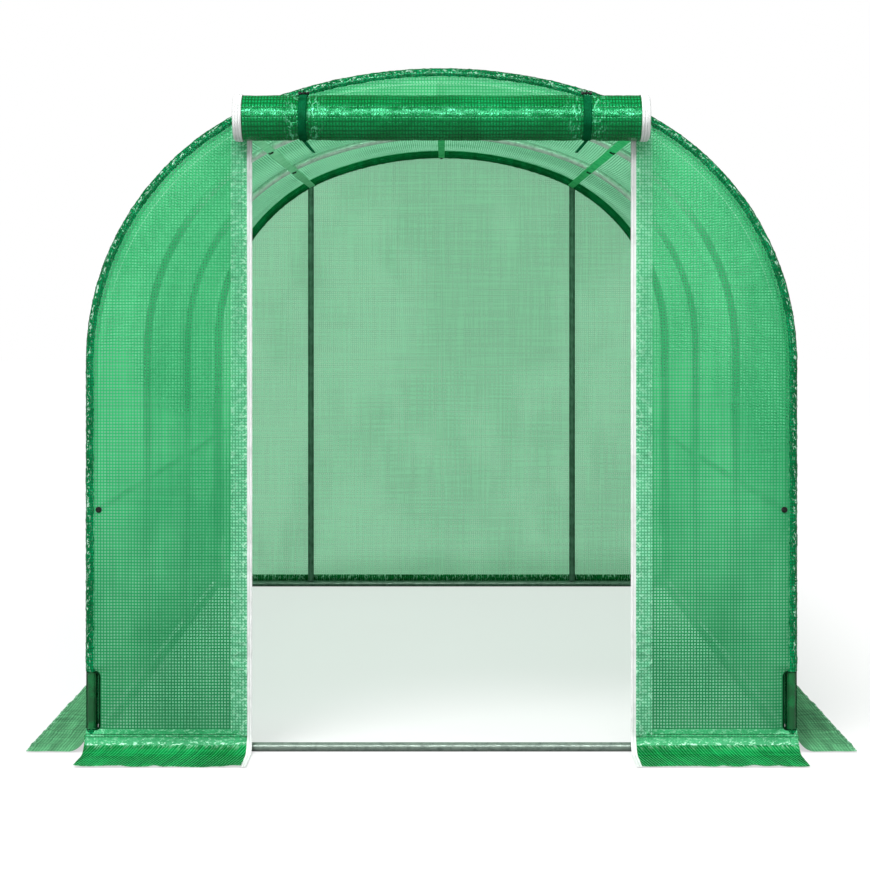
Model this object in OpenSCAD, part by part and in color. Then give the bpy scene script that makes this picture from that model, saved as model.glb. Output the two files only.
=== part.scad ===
// Walk-in polytunnel greenhouse: a bolted frame of steel tubes under a sewn cover of green mesh film.
// Sizes are in millimetres. X runs across, Y from the door at the front (-Y) to the back, Z up.
// The origin is on the ground, in the middle of the tunnel.

/* [Overall] */
// Width over the end sleeves at the legs
width = 2000; // [1600:10:2500]
// Length over the two end walls
length = 3000; // [2400:10:4000]
// Height of the straight legs, up to where the arch springs
leg_h = 1095; // [900:5:1400]
// Rise of the arch above the tops of the legs
arch_rise = 825; // [680:5:1000]
// Angle from the top of the arch to where each shoulder bend begins
crown_angle = 20.7; // [16:0.1:26]
// Number of bays between the hoops
bays = 3; // [3:1:6]

/* [Frame] */
// Diameter of the tubes of the hoops, sills, posts and base rails
tube_d = 25; // [20:0.5:32]
// Diameter of the side rails
rail_d = 19; // [15:0.5:25]
// Height of the side rails
rail_z = 681; // [500:1:850]
// Distance from a zip's outer edge to the middle of its post and roof purlin
post_gap = 31; // [25:1:60]
// Width of the flat roof purlins
purlin_w = 27; // [20:1:33]
// Thickness of the flat purlins and braces
flat_t = 3; // [2:0.5:5]
// Width of the flat corner braces
brace_w = 20; // [15:1:25]
// Clear distance between a side rail and the upper end of a brace
brace_gap = 20; // [10:1:200]
// Height at which a brace's lower end is bolted to the next hoop
brace_foot_z = 42; // [35:1:120]
// Diameter of the caps on the frame's bolts
cap_d = 12; // [10:0.5:15]
// Height of those caps
cap_h = 5; // [3:0.5:7]
// Diameter of the rail caps outside the end walls
rail_cap_d = 17; // [14:0.5:21]

/* [Cover] */
// Thickness of the cover sheets
sheet_t = 2; // [1:0.5:3]
// Outside diameter of the sleeve sewn round each end hoop
sleeve_d = 35; // [29:0.5:42]
// How far the ground skirts reach out from the walls
skirt_w = 168; // [120:1:250]
// Radius of the fold where a wall turns out into its skirt
fold_r = 50; // [35:1:60]
// Height of the lower edge of a foot opening
foot_z = 63; // [52:1:90]
// Height of a foot opening
foot_h = 163; // [120:1:200]
// Width of a foot opening, from the outside of the sleeve
foot_w = 41; // [34:1:60]
// Radius of a foot opening's inner corners
foot_r = 12; // [5:1:15]
// How far back a foot opening reaches behind the middle of its hoop
foot_back = 3; // [1:0.5:6]

/* [Door] */
// Clear width between the zips
door_w = 1060; // [850:10:1300]
// Height of the header between the door and the top of the arch
header_h = 195; // [150:5:400]
// Width of the white zip tape
zip_w = 14; // [10:1:20]
// Thickness of the zip tape
zip_t = 3.5; // [2.5:0.5:5]
// Diameter of the rolled-up door
roll_d = 130; // [100:1:160]
// How far the rolled-up door reaches past the clear width at each end, without its white tape
roll_over = 23; // [10:1:60]
// Height of the middle of the roll over the top of the door
roll_rise = 47; // [30:1:70]
// Width of the white tape at each end of the roll
roll_end_w = 25; // [15:1:35]
// How far the white tape stands proud of the roll
roll_end_proud = 1; // [0.5:0.5:3]
// Width of the door straps
strap_w = 22; // [15:1:30]
// Thickness of the door straps
strap_t = 2; // [1:0.5:3]
// Distance from the middle to the left strap
left_strap_x = 384; // [300:1:490]
// Distance from the middle to the right strap
right_strap_x = 404; // [300:1:490]
// Length of the loose end of each strap
tail_l = 26; // [15:1:32]

/* [Hidden] */
$fn = 64;
bend_fn = 360;

gap = 0.3;                 // clearance between pieces that rest on each other
notch_gap = 0.8;           // clearance of the cuts that a sleeve has round bars and rails
tube_r = tube_d / 2;
sleeve_r = sleeve_d / 2;
half_w = width / 2;
half_l = length / 2;
hoop_x = half_w - sleeve_r;             // axis of the legs
hoop_y = half_l - sleeve_r;             // plane of the end hoops
hoop_pitch = 2 * hoop_y / bays;

// The arch has three centres: one for the crown and one for each shoulder.
crown_share = tan(crown_angle / 2);
shoulder_r = (arch_rise - half_w * crown_share) / (1 - crown_share);
shoulder_x = half_w - shoulder_r;
crown_r = shoulder_r + shoulder_x / sin(crown_angle);
crown_z = leg_h + arch_rise - crown_r;
shoulder_sweep = 90 - crown_angle;

sheet_in = sleeve_r - tube_r - gap - sheet_t;          // outside of the cover, in from the sleeve's
panel_back = sleeve_r - sheet_t;                       // back of an end wall, from the hoop's plane
panel_in = sleeve_r + sqrt(pow(sleeve_r, 2) - pow(panel_back, 2)) + gap;
cover_y = hoop_y - sqrt(pow(sleeve_r, 2) - pow(tube_r + gap, 2)) - gap;
sleeve_z = tube_d + 2;                                 // foot of the sleeves, over the base rails
rail_x = hoop_x - tube_r - gap - rail_d / 2;
brace_x = hoop_x - tube_r - gap - flat_t / 2;
brace_z = rail_z - rail_d / 2 - brace_gap - brace_w / 2;
brace_slope = atan((brace_z - brace_foot_z) / hoop_pitch);
zip_x = door_w / 2 + zip_w;                            // outer edge of the zips
post_x = zip_x + post_gap;
door_h = leg_h + arch_rise - header_h;
roll_l = door_w + 2 * roll_over;
roll_z = door_h + roll_rise;
roll_y = -(half_l + 2 * gap + strap_t + roll_d / 2);
tail_lean = 28;                                        // slant of the loose strap ends
buckle = [30, 14, 6];

function on_crown(x, inset) = x <= (crown_r - inset) * sin(crown_angle);
function lean_at(x, inset) = on_crown(x, inset)
    ? asin(x / (crown_r - inset))
    : asin((x - shoulder_x) / (shoulder_r - inset));
function arch_z(x, inset) = on_crown(x, inset)
    ? crown_z + (crown_r - inset) * cos(lean_at(x, inset))
    : leg_h + (shoulder_r - inset) * cos(lean_at(x, inset));
function arc(cx, cz, r, from, to, steps) =
    [for (i = [0 : steps]) let (t = from + (to - from) * i / steps) [cx + r * cos(t), cz + r * sin(t)]];
function hoop_at(i) = -hoop_y + i * hoop_pitch;

// Outline of an end wall that stops short of the sleeve, from the given height up to the arch.
function wall_outline(z) = concat(
    [[half_w - panel_in, z]],
    arc(shoulder_x, leg_h, shoulder_r - panel_in, 0, shoulder_sweep, 24),
    arc(0, crown_z, crown_r - panel_in, shoulder_sweep, 180 - shoulder_sweep, 24),
    arc(-shoulder_x, leg_h, shoulder_r - panel_in, 180 - shoulder_sweep, 180, 24),
    [[panel_in - half_w, z]]
);

// Turns a child drawn in the XY plane to face along Y, with its Y axis up.
module upright() {
    rotate([90, 0, 0]) children();
}

module both_sides() {
    children();
    mirror([1, 0, 0]) children();
}

// Places a child on the hoop's axis at x, with its Z axis along the arch's outward normal.
module on_arch(x) {
    side = x < 0 ? -1 : 1;
    translate([x, 0, arch_z(abs(x), sleeve_r)])
        rotate([0, side * lean_at(abs(x), sleeve_r), 0])
            children();
}

// One of the sections of a bend, round the given centre, made from a child profile.
// The profile's X is the distance from that centre, and the sections lie a gap apart.
module bend_section(cx, cz, r, from, sweep, parts, i) {
    joint = gap / r * 90 / PI;
    translate([cx, 0, cz])
        upright()
            rotate([0, 0, from + sweep * i / parts + joint])
                rotate_extrude(angle = sweep / parts - 2 * joint, $fn = bend_fn) children();
}

// The right shoulder bend, in one section or more.
module shoulder_bend(parts = 1) {
    for (i = [0 : parts - 1])
        bend_section(shoulder_x, leg_h, shoulder_r, 0, shoulder_sweep, parts, i) children();
}

module crown_bend() {
    bend_section(0, crown_z, crown_r, shoulder_sweep, 2 * crown_angle, 1, 0) children();
}

// A hoop is made of tube sections, plugged end to end: a leg and two bends on each side, and the crown.
module hoop(y) {
    translate([0, y, 0]) {
        both_sides() {
            translate([hoop_x, 0, 0]) cylinder(h = leg_h - gap / 2, d = tube_d);
            shoulder_bend(2) translate([shoulder_r - sleeve_r, 0]) circle(d = tube_d);
        }
        crown_bend() translate([crown_r - sleeve_r, 0]) circle(d = tube_d);
    }
}

module end_hoop(side) {
    color("#0b4d22") hoop(side * hoop_y);
}

module inner_hoop(i) {
    color("#b9c2be") hoop(hoop_at(i));
}

// A base rail is one tube to a bay, between the feet of the legs.
module base_rail(side) {
    bay_l = hoop_pitch - tube_d - 2 * gap;
    color("#b9c2be")
        for (i = [0 : bays - 1])
            translate([side * hoop_x, hoop_at(i) + tube_r + gap, tube_r])
                rotate([-90, 0, 0])
                    cylinder(h = bay_l, d = tube_d);
}

module sill(side) {
    sill_l = 2 * (hoop_x - tube_r - gap);
    color("#aeb7b3")
        translate([-sill_l / 2, side * hoop_y, tube_r])
            rotate([0, 90, 0])
                cylinder(h = sill_l, d = tube_d);
}

// A post stands on the sill and is cut at a slant under the roof purlin.
module post(x, y) {
    color("#5d7468")
        difference() {
            translate([x, y, tube_d + gap]) cylinder(h = leg_h + arch_rise - tube_d, d = tube_d);
            translate([0, y, 0])
                on_arch(x)
                    translate([-width, -tube_d, -(tube_r + flat_t + 2 * gap)])
                        cube([2 * width, 2 * tube_d, width]);
        }
}

module side_rail(side) {
    rail_l = 2 * (hoop_y + panel_back - gap);
    color("#b9c2be")
        translate([side * rail_x, rail_l / 2, rail_z])
            rotate([90, 0, 0])
                cylinder(h = rail_l, d = rail_d);
}

// A roof purlin is a flat bar under the hoops, square to the arch.
module purlin(x, w = purlin_w) {
    bar_l = 2 * (hoop_y + tube_r);
    on_arch(x)
        translate([-w / 2, -bar_l / 2, -(tube_r + gap + flat_t)])
            cube([w, bar_l, flat_t]);
}

// A brace runs from an end hoop down to the foot of the next one. Its corners are cut off.
module right_front_brace() {
    a = brace_w / 2;
    b = brace_w / 4;
    run = hoop_pitch / cos(brace_slope);
    outline = [
        [-a, -b], [-b, -a], [run + b, -a], [run + a, -b],
        [run + a, b], [run + b, a], [-b, a], [-a, b],
    ];
    translate([brace_x - flat_t / 2, -hoop_y, brace_z])
        rotate([-brace_slope, 0, 0])
            rotate([90, 0, 90])
                linear_extrude(flat_t) polygon(outline);
}

module right_braces() {
    color("#8fa79b") {
        right_front_brace();
        mirror([0, 1, 0]) right_front_brace();
    }
}

// A domed cap that points along -Z.
module cap(d = cap_d) {
    rim = cap_h / 2;
    mirror([0, 0, 1]) {
        cylinder(h = rim, d = d);
        translate([0, 0, rim]) cylinder(h = cap_h - rim, d1 = d, d2 = 0.6 * d);
    }
}

module brace_cap(y, z) {
    translate([brace_x - flat_t / 2, y, z]) rotate([0, 90, 0]) cap();
}

module right_bolt_caps() {
    under = tube_r + gap + flat_t;
    for (i = [1 : bays - 1])
        translate([0, hoop_at(i), 0]) {
            on_arch(post_x) translate([0, 0, -under]) cap();
            translate([rail_x - rail_d / 2, 0, rail_z]) rotate([0, 90, 0]) cap();
        }
    for (side = [-1, 1]) {
        translate([rail_x, side * half_l, rail_z]) rotate([side * 90, 0, 0]) cap(rail_cap_d);
        brace_cap(side * hoop_y, brace_z);
        brace_cap(side * (hoop_y - hoop_pitch), brace_foot_z);
    }
}

module bolt_caps() {
    color("#151715") {
        both_sides() right_bolt_caps();
        for (i = [0 : bays])
            translate([0, hoop_at(i), 0])
                on_arch(0)
                    translate([0, 0, -(tube_r + gap + flat_t)]) cap();
    }
}

module side_cover(side) {
    x_out = half_w - sheet_in;
    color("#2fae66", 0.7)
        translate([side > 0 ? x_out - sheet_t : -x_out, -cover_y, fold_r])
            cube([sheet_t, 2 * cover_y, leg_h - fold_r]);
}

// The sheets over the hoops: one on each shoulder, and one on the crown.
module roof_cover() {
    color("#2fae66", 0.7) {
        both_sides()
            shoulder_bend()
                translate([shoulder_r - sheet_in - sheet_t, -cover_y]) square([sheet_t, 2 * cover_y]);
        crown_bend()
            translate([crown_r - sheet_in - sheet_t, -cover_y]) square([sheet_t, 2 * cover_y]);
    }
}

module sleeve_ring() {
    difference() {
        circle(r = sleeve_r);
        circle(r = tube_r + gap);
    }
}

// Room in a sleeve for a roof purlin at x.
module purlin_notch(x) {
    on_arch(x)
        translate([-purlin_w / 2 - notch_gap, -sleeve_d, -sleeve_d])
            cube([purlin_w + 2 * notch_gap, 2 * sleeve_d, sleeve_d - tube_r / 2]);
}

// Room in a sleeve for a roof purlin and for the top of the post under it.
module right_arch_cuts() {
    purlin_notch(post_x);
    translate([post_x, 0, leg_h])
        cylinder(h = arch_z(post_x, sleeve_r) - leg_h, r = tube_r + notch_gap);
}

// Room in a leg's sleeve for the side rail, the brace and the foot opening.
module right_leg_cuts() {
    inner = hoop_x - sleeve_d;
    rail_room = rail_d + 2 * notch_gap;
    brace_room = brace_w + 2 * notch_gap;
    translate([inner, -sleeve_d, rail_z - rail_room / 2])
        cube([rail_x + rail_d / 2 + gap - inner, 2 * sleeve_d, rail_room]);
    translate([inner, 0, brace_z])
        rotate([-brace_slope, 0, 0])
            translate([0, -brace_room / 2, -brace_room / 2])
                cube([brace_x + flat_t / 2 + gap - inner, 2 * sleeve_d, brace_room]);
    translate([inner, -sleeve_d, foot_z])
        cube([2 * sleeve_d, sleeve_d + foot_back, foot_h]);
}

// The sleeve wraps the whole hoop, down to just over the sill.
module front_sleeve() {
    color("#128a4a")
        translate([0, -hoop_y, 0]) {
            both_sides() {
                difference() {
                    translate([hoop_x, 0, sleeve_z])
                        linear_extrude(leg_h - gap / 2 - sleeve_z) sleeve_ring();
                    right_leg_cuts();
                }
                difference() {
                    shoulder_bend() translate([shoulder_r - sleeve_r, 0]) sleeve_ring();
                    right_arch_cuts();
                }
            }
            difference() {
                crown_bend() translate([crown_r - sleeve_r, 0]) sleeve_ring();
                both_sides() right_arch_cuts();
                purlin_notch(0);
            }
        }
}

// A flat piece of the front wall, t thick, between x0 and x1 and between z0 and z1.
module front_wall(x0, x1, z0, z1, t = sheet_t) {
    intersection() {
        translate([0, -half_l + sheet_t, 0])
            upright()
                linear_extrude(t) polygon(wall_outline(fold_r));
        translate([x0, -half_l - t, z0])
            cube([x1 - x0, 3 * t, z1 - z0]);
    }
}

// The part of a foot opening that is cut into the end wall beside the sleeve.
module right_foot_notch() {
    inner = half_w - foot_w;
    translate([0, -half_l + 2 * sheet_t, 0])
        upright()
            linear_extrude(4 * sheet_t)
                for (z = [foot_z + foot_r, foot_z + foot_h - foot_r]) {
                    translate([inner + foot_r, z]) circle(r = foot_r);
                    translate([inner + foot_r, foot_z]) square([foot_w, foot_h]);
                    translate([inner, foot_z + foot_r]) square([foot_w, foot_h - 2 * foot_r]);
                }
}

module front_right_panel() {
    color("#2fae66", 0.7)
        difference() {
            front_wall(zip_x + gap, half_w, fold_r, leg_h + arch_rise);
            right_foot_notch();
        }
}

module front_header() {
    color("#2fae66", 0.7) front_wall(-zip_x, zip_x, door_h, leg_h + arch_rise);
}

module rear_panel() {
    color("#2fae66", 0.7)
        difference() {
            mirror([0, 1, 0]) front_wall(-half_w, half_w, fold_r, leg_h + arch_rise);
            mirror([0, 1, 0]) both_sides() right_foot_notch();
        }
}

// Section of a sheet that hangs down a wall and folds out at the ground. X points outwards.
// The outside of the wall is at 0, and the sheet is t thick.
module fold_section(t) {
    intersection() {
        difference() {
            translate([fold_r - sheet_t, fold_r]) circle(r = fold_r);
            translate([fold_r - sheet_t, fold_r]) circle(r = fold_r - t);
        }
        translate([-sheet_t, 0]) square([fold_r, fold_r]);
    }
}

// The part of the same sheet that lies flat on the ground beyond the fold.
module flat_section(t) {
    start = fold_r - sheet_t + gap;
    translate([start, 0]) square([skirt_w - start, t]);
}

// Room for the sleeve's foot, which the skirts are cut round.
module leg_clearance() {
    both_sides()
        for (y = [-hoop_y, hoop_y])
            translate([hoop_x, y, -1]) cylinder(h = 2 * fold_r, r = sleeve_r + gap);
}

module right_ground_skirt() {
    skirt_l = 2 * (hoop_y + panel_back - 2 * gap);
    color("#58b27c")
        translate([half_w - sheet_in, skirt_l / 2, 0]) {
            difference() {
                upright() linear_extrude(skirt_l) fold_section(sheet_t);
                translate([sheet_in - half_w, -skirt_l / 2, 0]) leg_clearance();
            }
            upright() linear_extrude(skirt_l) flat_section(sheet_t);
        }
}

// A skirt or tape in front of the front wall, drawn from a child section, between x0 and x1.
module front_run(x0, x1) {
    translate([x0, -half_l, 0])
        rotate([90, 0, 90])
            linear_extrude(x1 - x0)
                mirror([1, 0]) children();
}

// A skirt in front of the front wall, cut round the feet of the sleeve.
module front_skirt(x0, x1) {
    color("#2fae66") {
        difference() {
            front_run(x0, x1) fold_section(sheet_t);
            leg_clearance();
        }
        front_run(x0, x1) flat_section(sheet_t);
    }
}

// The zip runs from the door's head down to the ground and out along the edge of the skirt.
module right_zip() {
    color("#f2f4f2") {
        front_wall(door_w / 2, zip_x, fold_r, door_h - gap, zip_t);
        front_run(door_w / 2, zip_x) fold_section(zip_t);
        front_run(door_w / 2, zip_x) flat_section(zip_t);
    }
}

module rolled_door() {
    color("#0c8a44")
        translate([-roll_l / 2, roll_y, roll_z])
            rotate([0, 90, 0])
                cylinder(h = roll_l, d = roll_d);
}

module right_roll_end() {
    color("#f2f4f2")
        translate([roll_l / 2, roll_y, roll_z])
            rotate([0, 90, 0])
                cylinder(h = roll_end_w, d = roll_d + 2 * roll_end_proud);
}

// A strap is a loop round the roll, with a loose end that hangs below it.
module door_strap(x, side) {
    color("#0a5c2c") {
        translate([x - strap_w / 2, roll_y, roll_z])
            rotate([0, 90, 0])
                difference() {
                    cylinder(h = strap_w, r = roll_d / 2 + gap + strap_t);
                    translate([0, 0, -1]) cylinder(h = strap_w + 2, r = roll_d / 2 + gap);
                }
        translate([x, roll_y - strap_t / 2, roll_z - roll_d / 2 - gap - strap_t / 2])
            rotate([0, side * tail_lean, 0])
                translate([-strap_w / 4, 0, -tail_l])
                    cube([strap_w / 2, strap_t, tail_l]);
    }
}

module strap_buckles() {
    top = roll_z + roll_d / 2 + 2 * gap + strap_t;
    color("#151715")
        for (x = [-left_strap_x, right_strap_x])
            translate([x - buckle.x / 2, roll_y - buckle.y / 2, top]) cube(buckle);
}

end_hoop(-1);  // front_hoop
inner_hoop(1);  // second_hoop
for (i = [2 : bays - 1]) inner_hoop(i);  // third_hoop
end_hoop(1);  // rear_hoop
base_rail(-1);  // left_base_rail
base_rail(1);  // right_base_rail
sill(-1);  // front_sill
sill(1);  // rear_sill
post(-post_x, -hoop_y);  // left_door_post
post(post_x, -hoop_y);  // right_door_post
post(-post_x, hoop_y);  // left_rear_post
post(post_x, hoop_y);  // right_rear_post
side_rail(-1);  // left_side_rail
side_rail(1);  // right_side_rail
color("#3f9c68") purlin(0);  // ridge_purlin
color("#3f9c68") purlin(-post_x);  // left_roof_purlin
color("#3f9c68") purlin(post_x);  // right_roof_purlin
mirror([1, 0, 0]) right_braces();  // left_braces
right_braces();
bolt_caps();
side_cover(-1);  // left_side_cover
side_cover(1);  // right_side_cover
roof_cover();
front_sleeve();
mirror([0, 1, 0]) front_sleeve();  // rear_sleeve
mirror([1, 0, 0]) front_right_panel();  // front_left_panel
front_right_panel();
front_header();
rear_panel();
mirror([1, 0, 0]) right_ground_skirt();  // left_ground_skirt
right_ground_skirt();
front_skirt(-half_w, -zip_x - gap);  // front_left_skirt
front_skirt(zip_x + gap, half_w);  // front_right_skirt
mirror([0, 1, 0]) front_skirt(-half_w, half_w);  // rear_skirt
mirror([1, 0, 0]) right_zip();  // left_zip
right_zip();
rolled_door();
mirror([1, 0, 0]) right_roll_end();  // left_roll_end
right_roll_end();
door_strap(-left_strap_x, -1);  // left_door_strap
door_strap(right_strap_x, 1);  // right_door_strap
strap_buckles();
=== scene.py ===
import math

import bpy
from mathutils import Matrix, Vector, noise


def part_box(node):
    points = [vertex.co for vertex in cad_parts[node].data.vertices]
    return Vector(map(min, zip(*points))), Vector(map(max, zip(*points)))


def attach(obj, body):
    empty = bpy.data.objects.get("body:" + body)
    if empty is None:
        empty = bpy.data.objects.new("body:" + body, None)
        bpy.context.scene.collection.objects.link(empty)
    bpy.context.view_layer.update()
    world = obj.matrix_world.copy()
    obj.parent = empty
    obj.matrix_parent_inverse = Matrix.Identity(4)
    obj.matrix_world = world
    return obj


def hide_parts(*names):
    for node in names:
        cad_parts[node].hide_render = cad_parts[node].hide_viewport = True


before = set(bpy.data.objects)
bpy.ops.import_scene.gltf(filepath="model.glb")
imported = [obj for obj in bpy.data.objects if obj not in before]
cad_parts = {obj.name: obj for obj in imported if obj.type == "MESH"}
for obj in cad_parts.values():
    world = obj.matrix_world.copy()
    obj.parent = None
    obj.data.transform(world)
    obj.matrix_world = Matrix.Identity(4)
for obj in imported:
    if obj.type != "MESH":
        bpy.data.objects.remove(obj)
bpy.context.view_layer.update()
print("frame loaded")


# ---- helpers for meshes

def startClean():
    if bpy.context.object and bpy.context.object.mode != "OBJECT":
        bpy.ops.object.mode_set(mode="OBJECT")
    bpy.ops.object.select_all(action="DESELECT")


def selectOnly(piece):
    startClean()
    piece.select_set(True)
    bpy.context.view_layer.objects.active = piece


def editAll(piece, *steps):
    # runs edit-mode steps on the whole of a piece
    selectOnly(piece)
    bpy.ops.object.mode_set(mode="EDIT")
    bpy.ops.mesh.select_all(action="SELECT")
    for step in steps:
        step()
    bpy.ops.object.mode_set(mode="OBJECT")


def closeSeams(piece, distance=0.00005):
    editAll(piece, lambda: bpy.ops.mesh.remove_doubles(threshold=distance))


def makeSheet(name, across, along, place, inside=None, seam=False):
    # a grid whose points are laid by place(u, v): it gives (x, y, z), the place on the flat cloth, the share
    # of painted light (painted glints on cloth, painted shade on tapes) and, if need be, the depth in from the
    # sheet's rim and the run along it
    startClean()
    bpy.ops.mesh.primitive_grid_add(x_subdivisions=across, y_subdivisions=along, size=2)
    sheet = bpy.context.object
    sheet.name = sheet.data.name = name
    mesh = sheet.data
    onCloth, extras = [], []
    for point in mesh.vertices:
        where, flatPlace, *extra = place((point.co.x + 1) / 2, (point.co.y + 1) / 2)
        point.co = where
        onCloth.append(flatPlace)
        extras.append(extra)
    cloth = mesh.uv_layers.active.data
    for corner in mesh.loops:
        cloth[corner.index].uv = onCloth[corner.vertex_index]
    for word, values in zip(("paintedLight", "rim", "run"), zip(*extras)):
        mesh.attributes.new(word, "FLOAT", "POINT").data.foreach_set("value", values)
    if seam:
        closeSeams(sheet)
    if inside is not None:
        faceAwayFrom(sheet, inside)
    selectOnly(sheet)
    bpy.ops.object.shade_smooth()
    return sheet


def faceAwayFrom(sheet, inside):
    # turns an open sheet's faces so that most look away from a point
    middle = Vector(inside)
    outward = sum(face.normal.dot(face.center - middle) * face.area for face in sheet.data.polygons)
    if outward < 0:
        editAll(sheet, bpy.ops.mesh.flip_normals)


def addThickness(piece, thick, offset=0.0):
    selectOnly(piece)
    solidify = piece.modifiers.new("thickness", "SOLIDIFY")
    solidify.thickness = thick
    solidify.offset = offset
    bpy.ops.object.modifier_apply(modifier=solidify.name)


def roundEdges(piece, width, sharpFrom, smoothTo):
    # a small bevel on every edge sharper than one angle, and smooth shading below another, in degrees
    bevel = piece.modifiers.new("edges", "BEVEL")
    bevel.width = width
    bevel.segments = 2
    bevel.angle_limit = math.radians(sharpFrom)
    bpy.ops.object.modifier_apply(modifier=bevel.name)
    bpy.ops.object.shade_smooth_by_angle(angle=math.radians(smoothTo))


def finishPiece(piece, material, slotName, *nodes):
    piece.data.materials.clear()
    piece.data.materials.append(material)
    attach(piece, "root")
    if nodes:
        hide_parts(*nodes)


def wobble(x, y, z, scale, depth=3):
    # smooth noise from -1 to 1, the same each time
    return noise.fractal(Vector((x * scale, y * scale, z * scale)), 0.8, 2.1, depth)


def crease(x, y, z, scale):
    # 1 on the crest of a crease, 0 between creases
    return max(0.0, 1 - 5 * abs(noise.noise(Vector((x * scale, y * scale, z * scale)))))


def smooth(low, high, value):
    share = min(1.0, max(0.0, (value - low) / (high - low)))
    return share * share * (3 - 2 * share)


# ---- helpers for materials

def startMaterial(name):
    material = bpy.data.materials.new(name)
    material.use_nodes = True
    material.node_tree.nodes.clear()
    return material


def addNode(material, kind, sockets=None, **settings):
    node = material.node_tree.nodes.new("ShaderNode" + kind)
    for key, value in settings.items():
        setattr(node, key, value)
    for key, value in (sockets or {}).items():
        if isinstance(value, bpy.types.NodeSocket):
            material.node_tree.links.new(value, node.inputs[key])
        else:
            node.inputs[key].default_value = value
    return node


def calc(material, operation, first, second=0.0):
    return addNode(material, "Math", {0: first, 1: second}, operation=operation).outputs[0]


def spread(material, value, low, high, outLow=0.0, outHigh=1.0):
    node = addNode(material, "MapRange", {
        "Value": value, "From Min": low, "From Max": high, "To Min": outLow, "To Max": outHigh,
    }, interpolation_type="SMOOTHSTEP")
    return node.outputs["Result"]


def blendColours(material, share, first, second):
    node = addNode(material, "Mix", {0: share, 6: first, 7: second}, data_type="RGBA")
    return node.outputs[2]


def noiseOn(material, place, scale, detail=3.0, stretch=(1, 1, 1), turn=(0, 0, 0)):
    where = addNode(material, "Mapping", {"Vector": place, "Scale": stretch, "Rotation": turn})
    node = addNode(material, "TexNoise", {
        "Vector": where.outputs[0], "Scale": scale, "Detail": detail,
    })
    return node.outputs["Fac"]


def readOn(material, word):
    # a value that the mesh carries at its points
    return addNode(material, "Attribute", attribute_name=word).outputs["Fac"]


def heightOn(material, here):
    return addNode(material, "SeparateXYZ", {"Vector": here}).outputs["Z"]


def rgba(colour, share=1.0):
    return (*(c * share for c in colour), 1.0)


def weaveOn(material, cloth, pitch, thread, ways="XY"):
    # 1 on the threads and 0 in the squares between them
    parts = addNode(material, "SeparateXYZ", {"Vector": cloth})
    lines = []
    for axis in ways:
        away = calc(material, "PINGPONG", parts.outputs[axis], pitch / 2)
        lines.append(spread(material, away, thread * 0.35, thread * 0.65, 1.0, 0.0))
    return calc(material, "MAXIMUM", lines[0], lines[-1])


def waveOn(material, cloth, reach):
    # the cloth's own place pushed about a little, so that its threads wander
    push = addNode(material, "TexNoise", {"Vector": cloth, "Scale": 14.0, "Detail": 2.0}).outputs["Color"]
    push = addNode(material, "VectorMath", {0: push, 1: (0.5, 0.5, 0.5)}, operation="SUBTRACT").outputs[0]
    push = addNode(material, "VectorMath", {0: push, "Scale": reach}, operation="SCALE").outputs[0]
    return addNode(material, "VectorMath", {0: cloth, 1: push}, operation="ADD").outputs[0]


def unevenThreads(material, cloth, pitch):
    # single threads that are a little darker or lighter, along both ways of the weave
    across = noiseOn(material, cloth, 1.0, 2, (0.9 / pitch, 3.0, 1))
    along = noiseOn(material, cloth, 1.0, 2, (3.0, 0.9 / pitch, 1))
    return calc(material, "MULTIPLY", calc(material, "ADD", across, along), 0.5)


def strokesOn(material, place, scale, width, keep, stretch=(1, 1, 1), turn=(0, 0, 0)):
    # thin broken curls, 1 on the curl
    curls = noiseOn(material, place, scale, 1.5, stretch, turn)
    away = calc(material, "ABSOLUTE", calc(material, "SUBTRACT", curls, 0.5))
    line = spread(material, away, width * 0.3, width, 1.0, 0.0)
    gaps = noiseOn(material, place, scale * 0.8, 2, stretch, (0, 0, 1.1))
    broken = spread(material, gaps, keep, keep + 0.07)
    return calc(material, "MULTIPLY", line, broken)


def bumpFrom(material, height, depth, strength=1.0, under=None):
    sockets = {"Height": height, "Distance": depth, "Strength": strength}
    if under is not None:
        sockets["Normal"] = under
    return addNode(material, "Bump", sockets).outputs[0]


def stitchesOn(material, look):
    # rows of short stitches at set depths in from the rim, fading out below where the rows start
    rim = readOn(material, "rim")
    run = readOn(material, "run")
    rows = 0.0
    for depth in look["stitchRows"]:
        away = calc(material, "ABSOLUTE", calc(material, "SUBTRACT", rim, depth))
        rows = calc(material, "MAXIMUM", rows, spread(material, away, 0.0006, 0.0018, 1.0, 0.0))
    dash = spread(material, calc(material, "PINGPONG", run, 0.0045), 0.0012, 0.0024, look["stitchGap"], 1.0)
    started = spread(material, run, look["stitchFrom"], look["stitchFrom"] + 0.4)
    return calc(material, "MULTIPLY", calc(material, "MULTIPLY", rows, dash), started)


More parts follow.
